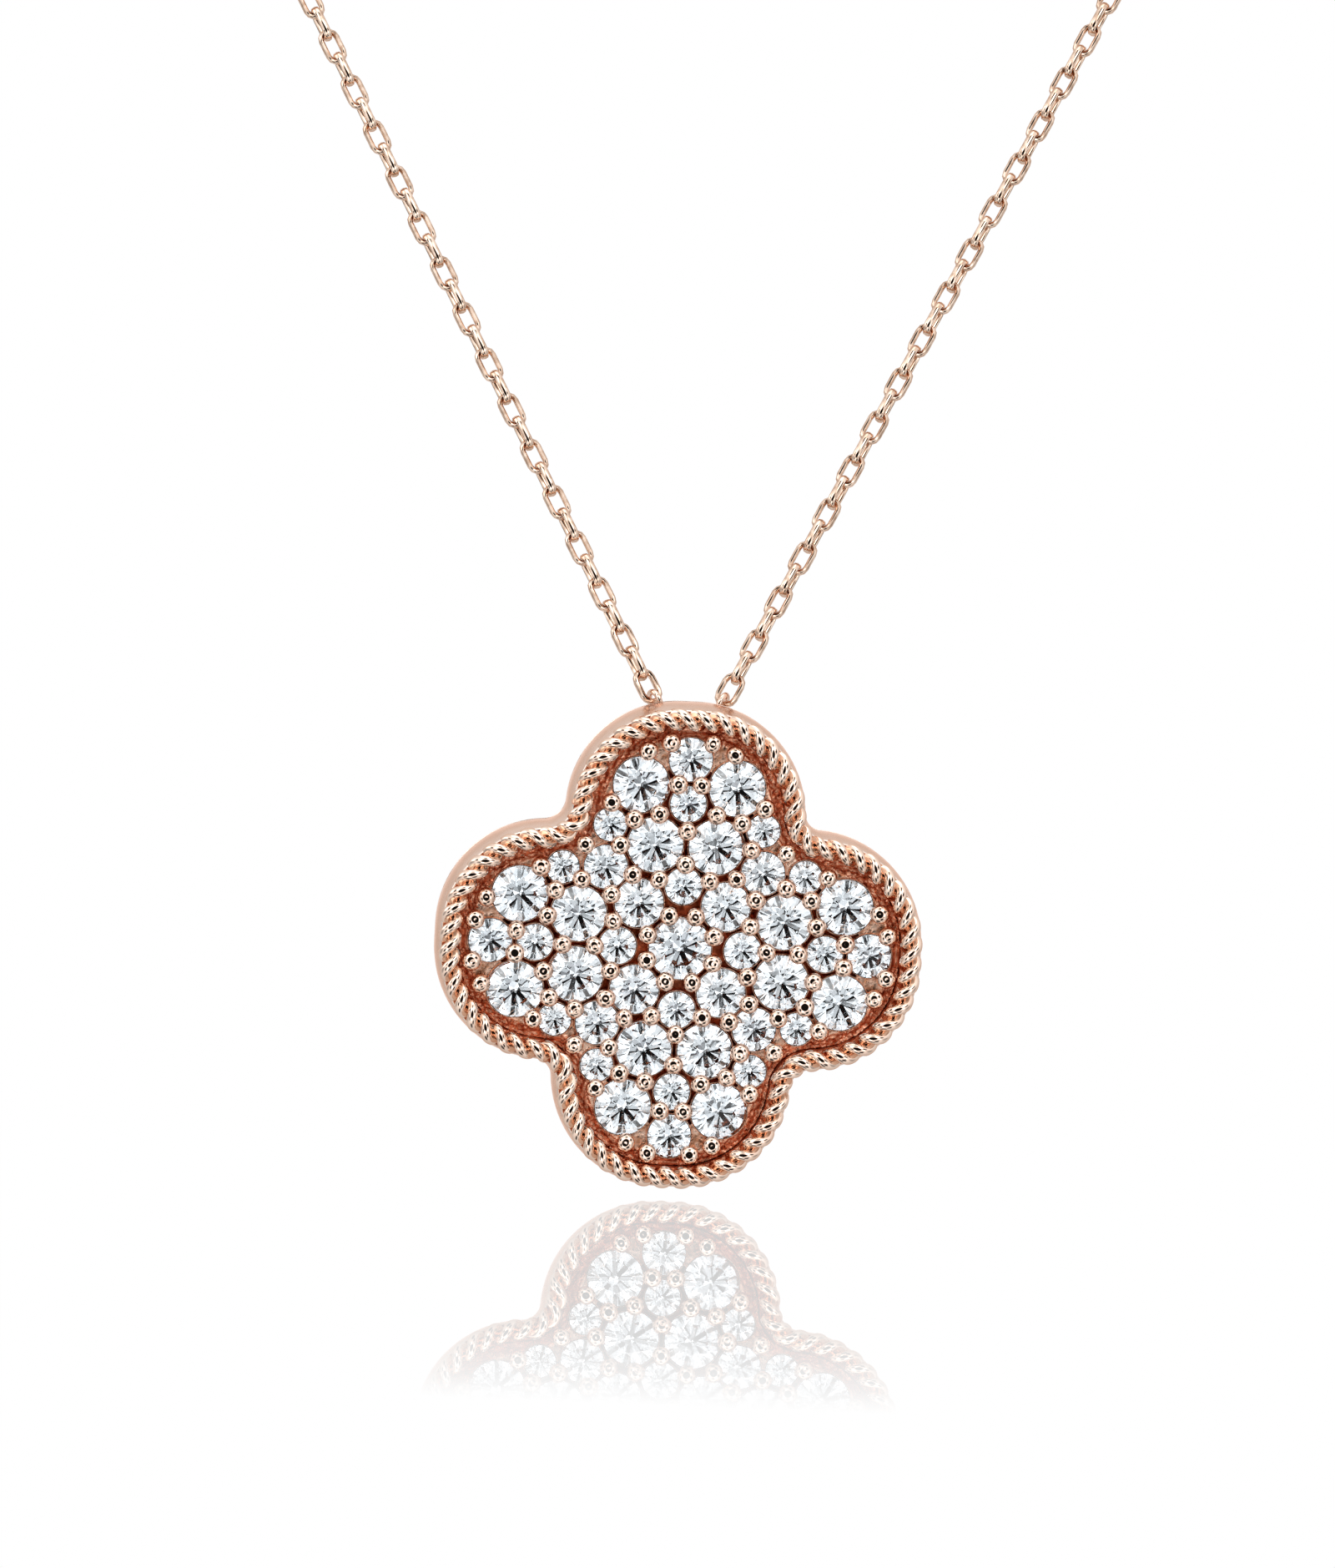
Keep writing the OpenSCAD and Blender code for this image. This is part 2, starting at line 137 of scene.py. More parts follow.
STONES = stone_places()
BEADS = [
    turned(along, side * aside, leaf)
    for along, aside in BEAD_ROWS
    for leaf in range(4)
    for side in both_sides(along, aside)
]


def middle(node):
    low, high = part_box(node)
    return (low + high) / 2


# The face's frame: x to the right, y up, z towards the viewer, with the rope's ledge at z = 0
hinge = Vector(frame["joints"][0]["pos_m"])
face_up = (middle("tip_stone_1") - middle("tip_stone_3")).normalized()
face_right = (middle("tip_stone_4") - middle("tip_stone_2")).normalized()
face_out = face_right.cross(face_up)
hinge_up = SHOULDER_ALONG + math.sqrt(SHOULDER_R**2 - (EYELET_X - SHOULDER_ASIDE) ** 2) - EYELET_DROP
face_origin = hinge - face_up * hinge_up * MM + face_out * (CASE_DEPTH + EYELET_BACK) * MM


def axes_at(place, x, y, z, scale=1.0):
    """The matrix that points a shape's x, y and z axes along three directions at a place."""
    turn = Matrix((x, y, z)).transposed().to_4x4()
    return Matrix.Translation(place) @ turn @ Matrix.Scale(scale, 4)


FACE = axes_at(face_origin, face_right, face_up, face_out, MM)
ROW = Matrix.Scale(MM, 4)

# Modelling helpers


def pick(*objects):
    """Selects these objects alone, the first of them active."""
    bpy.ops.object.select_all(action="DESELECT")
    for obj in objects:
        obj.select_set(True)
    bpy.context.view_layer.objects.active = objects[0]


def started(add, name, **settings):
    """A new primitive with a name, alone in the selection."""
    bpy.ops.object.select_all(action="DESELECT")
    add(**settings)
    obj = bpy.context.object
    obj.name = obj.data.name = name
    return obj


def edit(obj):
    """Opens a mesh for editing with everything in it selected."""
    pick(obj)
    bpy.ops.object.mode_set(mode="EDIT")
    bpy.ops.mesh.select_all(action="SELECT")
    return bmesh.from_edit_mesh(obj.data)


def done(obj):
    bpy.ops.object.mode_set(mode="OBJECT")
    return obj


def tidy_normals(obj, weld=0.0):
    """Merges doubles where asked, and turns all faces outwards."""
    edit(obj)
    if weld:
        bpy.ops.mesh.remove_doubles(threshold=weld)
    bpy.ops.mesh.normals_make_consistent(inside=False)
    return done(obj)


def smooth(obj, degrees):
    pick(obj)
    bpy.ops.object.shade_smooth_by_angle(angle=math.radians(degrees))


def settle(obj, place):
    """Sets the place of a finished piece into its mesh."""
    pick(obj)
    obj.matrix_world = place @ obj.matrix_world
    bpy.ops.object.transform_apply(location=True, rotation=True, scale=True)
    return obj


def copied(obj, place):
    """A copy with its own mesh, at a place."""
    other = obj.copy()
    other.data = obj.data.copy()
    other.matrix_world = place
    scene.collection.objects.link(other)
    return other


def joined(objects, name):
    """Several shapes as one piece, with their places set into its mesh."""
    pick(*objects)
    bpy.ops.object.transform_apply(location=True, rotation=True, scale=True)
    if len(objects) > 1:
        bpy.ops.object.join()
    made = bpy.context.view_layer.objects.active
    made.name = made.data.name = name
    return made


def apply_all(obj):
    pick(obj)
    for modifier in list(obj.modifiers):
        bpy.ops.object.modifier_apply(modifier=modifier.name)
    return obj


def combined(obj, other, operation):
    """Joins two closed shapes or cuts the second from the first, and removes the second."""
    modifier = obj.modifiers.new("shape", "BOOLEAN")
    modifier.operation = operation
    modifier.solver = "MANIFOLD"
    modifier.material_mode = "TRANSFER"
    modifier.object = other
    apply_all(obj)
    bpy.data.objects.remove(other)
    return obj


def finish_piece(obj, body, slot, *nodes):
    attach(obj, body)
    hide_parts(*nodes)


# Node helpers


def feed(tree, node, inputs):
    """Sets each input of a node, or links it where it is given another node's output."""
    for socket, value in inputs.items():
        if isinstance(value, bpy.types.NodeSocket):
            tree.links.new(value, node.inputs[socket])
        else:
            node.inputs[socket].default_value = value
    return node


def added(tree, kind, inputs, **settings):
    """A new node, with its settings made and its inputs fed."""
    node = tree.nodes.new("ShaderNode" + kind)
    for name, value in settings.items():
        setattr(node, name, value)
    return feed(tree, node, inputs)


def ramp(tree, stops, source):
    """The colour or grey that a source picks from a ramp of stops."""
    node = added(tree, "ValToRGB", {"Fac": source})
    elements = node.color_ramp.elements
    while len(elements) < len(stops):
        elements.new(0.5)
    for element, (place, colour) in zip(elements, stops):
        element.position = place
        element.color = (*colour, 1) if isinstance(colour, tuple) else (colour, colour, colour, 1)
    return node.outputs["Color"]


def mixed(tree, a, b, blend_type, factor=1.0):
    node = added(tree, "MixRGB", {"Fac": factor, "Color1": a, "Color2": b}, blend_type=blend_type)
    return node.outputs["Color"]


def grain_of(tree, size_mm, detail=3.0):
    """Noise with features of about the given size, on the piece's own coordinates."""
    place = added(tree, "TexCoord", {}).outputs["Object"]
    noise = {"Vector": place, "Scale": 1 / (size_mm * MM), "Detail": detail, "Roughness": 0.55}
    return added(tree, "TexNoise", noise).outputs["Fac"]


def new_material(name):
    material = bpy.data.materials.new(name)
    material.use_nodes = True
    return material, material.node_tree, material.node_tree.nodes["Principled BSDF"]


# Materials

METAL_EDGE_TINT = (0.80, 0.58, 0.48, 1)
DRIFT_LOW, DRIFT_HIGH = 0.35, 0.65
GRAIN_LOW, GRAIN_HIGH, GRAIN_DETAIL = 0.3, 0.7, 4.0
MICRON = 1e-6
STONE_IOR, STONE_ROUGHNESS = 2.4, 0.01


def metal(name, light, deep, rough, rough_spread, grain_mm, bump_um, drift_mm=1.6):
    """Rose gold with a little drift in its colour, uneven polish and a grain."""
    material, tree, shader = new_material(name)
    drift = grain_of(tree, drift_mm)
    grain = grain_of(tree, grain_mm, GRAIN_DETAIL)
    polish = added(tree, "MapRange", {
        "Value": grain, "From Min": GRAIN_LOW, "From Max": GRAIN_HIGH,
        "To Min": rough - rough_spread, "To Max": rough + rough_spread,
    })
    bump = added(tree, "Bump", {"Strength": 1, "Distance": bump_um * MICRON, "Height": grain})
    feed(tree, shader, {
        "Metallic": 1,
        "Specular Tint": METAL_EDGE_TINT,
        "Base Color": ramp(tree, [(DRIFT_LOW, deep), (DRIFT_HIGH, light)], drift),
        "Roughness": polish.outputs["Result"],
        "Normal": bump.outputs["Normal"],
    })
    return material


def rope_metal():
    """Bright rose gold, with painted shade that darkens it in the grooves between the strands."""
    material = metal(
        "strand_rose_gold", light=(0.90, 0.71, 0.59), deep=(0.84, 0.62, 0.50),
        rough=0.07, rough_spread=0.035, grain_mm=0.25, bump_um=2,
    )
    tree = material.node_tree
    shader = tree.nodes["Principled BSDF"]
    # painted shade: the colour is darkened where the groove mark is high, between the two strands
    groove = added(tree, "Attribute", {}, attribute_name="groove").outputs["Fac"]
    shade = ramp(tree, [(0.30, (1.0, 1.0, 1.0)), (0.60, (0.95, 0.90, 0.86))], groove)
    colour = shader.inputs["Base Color"].links[0].from_socket
    feed(tree, shader, {"Base Color": mixed(tree, colour, shade, "MULTIPLY")})
    return material


def stone_material():
    """A clear stone with the faintest drift in its tint."""
    material, tree, shader = new_material("clear_stone")
    tint = ramp(tree, [(0.3, (0.92, 0.965, 1.0)), (0.7, (0.97, 0.985, 1.0))], grain_of(tree, 2.5, 1.0))
    feed(tree, shader, {
        "Transmission Weight": 1, "IOR": STONE_IOR, "Roughness": STONE_ROUGHNESS, "Base Color": tint,
    })
    return material


polished = metal(
    "polished_rose_gold", light=(0.90, 0.70, 0.58), deep=(0.84, 0.61, 0.49),
    rough=0.06, rough_spread=0.035, grain_mm=0.25, bump_um=1.5,
)
hand_finished = metal(
    "case_rose_gold", light=(0.87, 0.73, 0.645), deep=(0.80, 0.645, 0.555),
    rough=0.24, rough_spread=0.05, grain_mm=0.25, bump_um=1.5,
)
satin = metal(
    "satin_rose_gold", light=(0.95, 0.65, 0.50), deep=(0.60, 0.27, 0.15),
    rough=0.30, rough_spread=0.12, grain_mm=0.20, bump_um=38, drift_mm=0.30,
)
# Rough gold as it came from the mould, for the channel beside the rope and inside the case's border: its dark
# red colours are painted shade of that recess, while their mottle, roughness and grain are the surface's own
shaded_cast = metal(
    "cast_rose_gold_painted_shade", light=(0.94, 0.50, 0.33), deep=(0.42, 0.11, 0.048),
    rough=0.36, rough_spread=0.14, grain_mm=0.20, bump_um=48, drift_mm=0.28,
)
# Near-black red gold for the walls of the stones' seats and the sunk ground between the stones: painted shade
# of those hollows
pit_shade = metal(
    "pit_rose_gold_painted_shade", light=(0.56, 0.17, 0.08), deep=(0.19, 0.04, 0.016),
    rough=0.38, rough_spread=0.12, grain_mm=0.16, bump_um=30, drift_mm=0.25,
)
drawn = metal(
    "drawn_rose_gold", light=(0.93, 0.74, 0.605), deep=(0.60, 0.42, 0.31),
    rough=0.07, rough_spread=0.035, grain_mm=0.18, bump_um=2, drift_mm=0.32,
)
strand_gold = rope_metal()
stone_clear = stone_material()

# Outline of the clover


def clover_stations(shoulder_steps, notch_steps):
    """Outline as a centre, a signed radius and a direction, so that one list gives every offset."""
    between = SHOULDER_ALONG + SHOULDER_ASIDE
    reach_sq = (SHOULDER_R + NOTCH_R) ** 2
    notch_at = (between + math.sqrt(between**2 - 2 * (SHOULDER_ALONG**2 + SHOULDER_ASIDE**2 - reach_sq))) / 2
    start = math.atan2(notch_at - SHOULDER_ALONG, notch_at - SHOULDER_ASIDE)
    sweep = math.pi / 2 - start
    leaf = []
    for i in range(shoulder_steps + 1):
        leaf.append((SHOULDER_ASIDE, SHOULDER_ALONG, SHOULDER_R, start + sweep * i / shoulder_steps))
    for i in range(shoulder_steps + 1):
        leaf.append((-SHOULDER_ASIDE, SHOULDER_ALONG, SHOULDER_R, math.pi / 2 + sweep * i / shoulder_steps))
    for i in range(1, notch_steps):
        turn = math.pi - start - (math.pi / 2 - 2 * start) * i / notch_steps
        leaf.append((-notch_at, notch_at, -NOTCH_R, turn))
    stations = []
    for number, (c, s) in enumerate(QUARTER_TURNS):
        for x, y, radius, angle in leaf:
            stations.append((x * c - y * s, x * s + y * c, radius, angle + number * math.pi / 2))
    return stations


def on_outline(station, offset, height=0.0):
    """The point of a station at an offset outwards from the outline."""
    x, y, radius, angle = station
    reach = radius + offset
    return Vector((x + reach * math.cos(angle), y + reach * math.sin(angle), height))


CASE_STATIONS = clover_stations(shoulder_steps=22, notch_steps=10)
ROPE_STATIONS = clover_stations(shoulder_steps=40, notch_steps=20)
GROUND_STATIONS = clover_stations(shoulder_steps=96, notch_steps=40)


def grown(name, levels, stations=CASE_STATIONS):
    """A shape grown up from a flat clover, one extrusion for each level of offset and height."""
    add = bpy.ops.mesh.primitive_circle_add
    obj = started(add, name, vertices=len(stations), radius=1, fill_type="NGON")
    mesh = edit(obj)
    order = mesh.verts.layers.int.new("station")
    mesh.verts.layers.int.new("level")
    for number, vert in enumerate(mesh.verts):
        vert[order] = number
    for level, (offset, height) in enumerate(levels):
        if level:
            bpy.ops.mesh.extrude_region_move()
        mesh = bmesh.from_edit_mesh(obj.data)
        order = mesh.verts.layers.int["station"]
        rank = mesh.verts.layers.int["level"]
        for vert in mesh.verts:
            if vert.select:
                vert.co = on_outline(stations[vert[order]], offset, height)
                vert[rank] = level
        bmesh.update_edit_mesh(obj.data)
    bpy.ops.mesh.select_all(action="SELECT")
    bpy.ops.mesh.normals_make_consistent(inside=False)
    return done(obj)


def paint_from(obj, level, index):
    """Gives the faces from a level on another material."""
    rank = obj.data.attributes["level"].data
    for face in obj.data.polygons:
        if min(rank[v].value for v in face.vertices) >= level:
            face.material_index = index


def drop_marks(obj):
    """Removes the station and level numbers, which are needed only while a shape grows."""
    for mark in ("station", "level"):
        obj.data.attributes.remove(obj.data.attributes[mark])

# Case, by offset from the outline and height: back, side wall, rim, ledge under the rope, inner wall

CASE_LEVELS = [
    (-0.45, -2.90), (-0.28, -2.87), (-0.12, -2.78), (-0.03, -2.62), (0.0, -2.45),
    (0.0, -2.40), (-0.045, -2.37), (-0.045, -2.33), (0.0, -2.30), (0.02, -2.05),
    (0.045, -1.60), (0.045, -1.20), (0.015, -0.80), (-0.035, -0.50),
    (-0.065, -0.34), (-0.085, -0.24), (-0.105, -0.17), (-0.13, -0.12), (-0.16, -0.10),
    (-0.19, -0.11), (-0.21, -0.14), (-0.25, -0.17), (-0.60, -0.21),
    (-0.86, -0.23), (-0.93, -0.26), (-0.95, -0.34), (-0.95, -1.05),
    (-1.60, -1.05), (-1.60, -2.40),
]
# from this level inwards, under the rope and down its inner wall, the case is painted dark as shade
SHADED_CAST_FROM = CASE_LEVELS.index((-0.86, -0.23))


def make_case():
    """The clover's box, hand finished outside; inside the border rough from the mould and painted dark as
    shade.
    """
    case = grown("case", CASE_LEVELS)
    case.data.materials.append(hand_finished)
    case.data.materials.append(shaded_cast)
    paint_from(case, SHADED_CAST_FROM, 1)
    drop_marks(case)
    return case


case = make_case()
smooth(case, degrees=32)
settle(case, FACE)
finish_piece(case, "pendant", "rose_gold", "setting")

# Rope border


def strand_section():
    """Two round lobes that meet in the middle, as a cut across the rope shows them."""
    half = math.pi - math.acos(STRAND_APART / STRAND_ACROSS)
    section = []
    for side in (1, -1):
        for i in range(STRAND_SIDES):
            turn = -half + 2 * half * i / STRAND_SIDES
            x = side * (STRAND_APART + STRAND_ACROSS * math.cos(turn))
            section.append(Vector((x, side * STRAND_AROUND * math.sin(turn), 0)))
    return section


def ring_through(name, places):
    """A closed line of edges through a list of places."""
    add = bpy.ops.mesh.primitive_circle_add
    ring = started(add, name, vertices=len(places), radius=1, fill_type="NOTHING")
    for vert, place in zip(ring.data.vertices, places):
        vert.co = place
    return ring


def make_rope():
    """Two strands laid round each other, bent along the border."""
    points = [on_outline(s, ROPE_MIDDLE) for s in ROPE_STATIONS]
    length = sum((points[i] - points[i - 1]).length for i in range(len(points)))
    rope = ring_through("rope_border", strand_section())
    twist = rope.modifiers.new("twist", "SCREW")
    twist.axis = "Z"
    twist.angle = 2 * math.pi * ROPE_TURNS
    twist.screw_offset = length
    twist.steps = twist.render_steps = ROPE_TURNS * STEPS_A_TURN
    apply_all(rope)
    # the groove mark, high near the rope's middle line, is where the strand gold is painted darker as shade
    groove = rope.data.attributes.new("groove", "FLOAT", "POINT")
    for vert, mark in zip(rope.data.vertices, groove.data):
        mark.value = 1 - math.hypot(vert.co.x, vert.co.y) / (STRAND_ACROSS + STRAND_APART)

    pick(ring_through("border_line", points))
    bpy.ops.object.convert(target="CURVE")
    line = bpy.context.object
    line.data.dimensions = "2D"
    line.data.use_stretch = True
    line.data.use_deform_bounds = True
    bend = rope.modifiers.new("bend", "CURVE")
    bend.object = line
    bend.deform_axis = "POS_Z"
    apply_all(rope)
    bpy.data.objects.remove(line)
    return tidy_normals(rope, weld=0.004)


rope = make_rope()
rope.data.materials.append(strand_gold)
smooth(rope, degrees=50)
settle(rope, FACE @ Matrix.Translation((0, 0, ROPE_RISE)))
finish_piece(rope, "pendant", "rose_gold", "setting")

# Pave plate, ground, seats and beads

PLATE_LEVELS = [(-1.42, -1.30), (-1.42, -0.56), (-1.46, -0.50), (-1.52, -0.46), (-1.60, -0.45)]
GROUND_LEVELS = [
    (-0.97, -1.25), (-0.97, -0.80), (-0.98, -0.72), (-1.01, -0.68), (-1.05, -0.68), (-1.09, -0.69),
    (-1.13, -0.69), (-1.17, -0.67), (-1.21, -0.65), (-1.25, -0.62), (-1.29, -0.59), (-1.33, -0.56),
    (-1.37, -0.54), (-1.41, -0.52), (-1.45, -0.50), (-1.50, -0.49), (-1.56, -0.48), (-1.66, -0.55),
]
ROUGH_FROM, GRAIN_SIZE, GRAIN_HEIGHT = 3, 0.15, 0.20
FIELD_LOW, FIELD_HIGH = -1.0, 1.0

# Round shapes, by radius and height; a collar's radius is what it has past its stone's
COLLAR_RINGS = [(0.095, -0.9), (0.09, -0.12), (0.065, -0.05)]
BEAD_RINGS = [
    (0.37, -0.80), (0.43, -0.14), (0.442, 0.0), (0.43, 0.10), (0.40, 0.17), (0.345, 0.235),
    (0.27, 0.285), (0.185, 0.322), (0.11, 0.334), (0.045, 0.312),
]
SEAT_SIDES, BEAD_SIDES, BEAD_DROP = 40, 20, 0.14
SEAT_GAP, SEAT_LOW, SEAT_HIGH, SEAT_FOOT = 0.035, -2.2, 1.2, 0.8

# How far each bead strays: lean in degrees, turn in radians, shift, and shares of width and height
BEAD_LEAN, BEAD_TURN, BEAD_SHIFT = 9, 6.28, 0.03
BEAD_WIDTHS, BEAD_HEIGHTS = (0.93, 1.04), (0.92, 1.04)
STONE_LEAN = 2

rng = random.Random(7)


def leaning(degrees):
    """A small chance lean about x and then y."""
    about_x = Matrix.Rotation(math.radians(rng.uniform(-degrees, degrees)), 4, "X")
    about_y = Matrix.Rotation(math.radians(rng.uniform(-degrees, degrees)), 4, "Y")
    return about_x @ about_y


def lathe(name, rings, sides, place, material=None):
    """A closed round shape from rings of radius and height, grown from a disc."""
    radius, height = rings[0]
    obj = started(
        bpy.ops.mesh.primitive_circle_add, name,
        vertices=sides, radius=radius, fill_type="NGON", location=(0, 0, height),
    )
    bpy.ops.object.transform_apply(location=True)
    edit(obj)
    for next_radius, next_height in rings[1:]:
        bpy.ops.mesh.extrude_region_move(TRANSFORM_OT_translate={"value": (0, 0, next_height - height)})
        share = next_radius / radius
        bpy.ops.transform.resize(value=(share, share, 1), center_override=(0, 0, next_height))
        radius, height = next_radius, next_height
    bpy.ops.mesh.select_all(action="SELECT")
    bpy.ops.mesh.normals_make_consistent(inside=False)
    done(obj)
    if material:
        obj.data.materials.append(material)
    obj.matrix_world = place
    return obj


def seat_rings(d):
    """The hole that a stone of diameter d sits in, and the room that its crown keeps clear."""
    r = d / 2
    return [
        (SEAT_FOOT * r + SEAT_GAP, SEAT_LOW),
        (SEAT_FOOT * r + SEAT_GAP, -d * (GIRDLE + (1 - SEAT_FOOT) * PAVILION)),
        (r + SEAT_GAP, -d * GIRDLE - SEAT_GAP / 2),
        (r + SEAT_GAP, SEAT_GAP / 2),
        (r * TABLE + SEAT_GAP, d * CROWN + SEAT_GAP / 2),
        (r * TABLE + SEAT_GAP, SEAT_HIGH),
    ]


def stone_place(at):
    return Matrix.Translation((at.x, at.y, -GIRDLE_DROP))


def inner_field():
    """Outline through the outer stones' middles, which the sunk ground of the pave follows."""
    rows = {row[0]: row for row in STONE_ROWS}
    corners = []
    for leaf in range(4):
        for name in ("notch_stone", "edge_stone", "high_stone"):
            corners.append(turned(rows[name][1], rows[name][2], leaf))
        for name in ("tip_stone", "high_stone", "edge_stone"):
            corners.append(turned(rows[name][1], -rows[name][2], leaf))
    return corners


def make_ground():
    """The rough ground beside the rope, left as it came from the mould and painted dark as shade."""
    ground = grown("ground", GROUND_LEVELS, GROUND_STATIONS)
    rank = ground.data.attributes["level"].data
    rough_levels = range(ROUGH_FROM, len(GROUND_LEVELS) - 1)
    rough = ground.vertex_groups.new(name="rough")
    rough.add([v.index for v in ground.data.vertices if rank[v.index].value in rough_levels], 1, "REPLACE")
    drop_marks(ground)
    clouds = bpy.data.textures.new("cast_grain", "CLOUDS")
    clouds.noise_scale = GRAIN_SIZE
    clouds.noise_depth = 1
    grain = ground.modifiers.new("grain", "DISPLACE")
    grain.texture = clouds
    grain.texture_coords = "LOCAL"
    grain.vertex_group = "rough"
    grain.strength = GRAIN_HEIGHT
    grain.mid_level = 0.5
    apply_all(ground)
    bpy.data.textures.remove(clouds)
    ground.data.materials.append(shaded_cast)
    return ground


def make_field():
    """The block cut out between the stones, down to the ground of the pave; the faces it leaves are painted
    dark as shade.
    """
    corners = inner_field()
    add = bpy.ops.mesh.primitive_circle_add
    field = started(add, "field", vertices=len(corners), radius=1, fill_type="NGON")
    for vert, place in zip(field.data.vertices, corners):
        vert.co = place + Vector((0, 0, FIELD_LOW))
    edit(field)
    bpy.ops.mesh.extrude_region_move(TRANSFORM_OT_translate={"value": (0, 0, FIELD_HIGH - FIELD_LOW)})
    done(field)
    tidy_normals(field)
    field.data.materials.append(pit_shade)
    return field


def make_collar(at, d):
    """The raised ring of metal round a stone's seat."""
    rings = [(d / 2 + past, height) for past, height in COLLAR_RINGS]
    return settle(lathe("collar", rings, SEAT_SIDES, stone_place(at), satin), Matrix.Identity(4))


def make_bead(at):
    """A grain of metal raised from the plate, its foot drawn down into the ground."""
    lean = leaning(BEAD_LEAN)
    x = at.x + rng.uniform(-BEAD_SHIFT, BEAD_SHIFT)
    y = at.y + rng.uniform(-BEAD_SHIFT, BEAD_SHIFT)
    turn = Matrix.Rotation(rng.uniform(0, BEAD_TURN), 4, "Z")
    squash = Matrix.Diagonal((rng.uniform(*BEAD_WIDTHS), 1.0, rng.uniform(*BEAD_HEIGHTS), 1))
    place = Matrix.Translation((x, y, -BEAD_DROP)) @ lean @ turn @ squash
    return settle(lathe("bead", BEAD_RINGS, BEAD_SIDES, place, polished), Matrix.Identity(4))


def make_pave():
    """The plate with its collars, beads and rough border, cut out under the stones."""
    plate = grown("pave", PLATE_LEVELS)
    drop_marks(plate)
    for material in (satin, shaded_cast, polished):
        plate.data.materials.append(material)
    combined(plate, make_field(), "DIFFERENCE")
    for _, at, d in STONES:
        combined(plate, make_collar(at, d), "UNION")
    for at in BEADS:
        combined(plate, make_bead(at), "UNION")
    combined(plate, combined(make_ground(), make_field(), "DIFFERENCE"), "UNION")
    # the seats leave their walls painted dark as shade, a dark ring round each stone
    seats = [lathe("seat", seat_rings(d), SEAT_SIDES, stone_place(at), pit_shade) for _, at, d in STONES]
    return combined(plate, joined(seats, "seats"), "DIFFERENCE")


pave = make_pave()
smooth(pave, degrees=35)
settle(pave, FACE)
finish_piece(pave, "pendant", "rose_gold", "setting")

# Eyelets, and the directions of the right-hand strand, whose first link hangs in its eyelet

spread, lean = math.tan(math.radians(STRAND_SPREAD)), math.tan(math.radians(STRAND_LEAN))
strand_dir = Vector((spread, lean, 1)).normalized()
strand_out = Vector((0, strand_dir.z, -strand_dir.y)).normalized()
strand_side = strand_out.cross(strand_dir)
turn_c, turn_s = math.cos(math.radians(LINK_TURN)), math.sin(math.radians(LINK_TURN))
link_side = strand_side * turn_c - strand_out * turn_s
link_out = strand_out * turn_c + strand_side * turn_s
strand_foot = hinge / MM + Vector((EYELET_X, 0, 0))


def mirrored(v):
    """The same place or direction on the left-hand side."""
    return Vector((-v.x, v.y, v.z))


def torus(name, diameter, wire, place, around, across):
    """A closed ring of wire, by its middle diameter, at a place."""
    ring = started(
        bpy.ops.mesh.primitive_torus_add, name,
        major_segments=around, minor_segments=across, major_radius=diameter / 2, minor_radius=wire / 2,
    )
    ring.matrix_world = place
    return ring


def make_eyelet(side):
    """A ring soldered to the top of the case, turned to match the first link's lie."""
    x, y, z, foot = link_out, strand_dir, link_side, strand_foot
    if side < 0:
        x, y, z, foot = mirrored(x), mirrored(y), -mirrored(z), mirrored(foot)
    return torus("eyelet", EYELET_D, EYELET_WIRE, axes_at(foot, x, y, z), around=40, across=14)


eyelets = joined([make_eyelet(1), make_eyelet(-1)], "eyelets")
eyelets.data.materials.append(polished)
smooth(eyelets, degrees=60)
settle(eyelets, ROW)
finish_piece(eyelets, "pendant", "rose_gold", "setting")

# Stones: a round brilliant of unit diameter, cut at a larger scale

CUT_SCALE, DRUM_SIDES, DRUM_HEIGHT = 10.0, 64, 0.8
FULL_STEP, HALF_STEP, QUARTER_STEP = 45, 22.5, 11.25
STAR_TIP_R, LOWER_JOIN_R = 0.39, 0.11


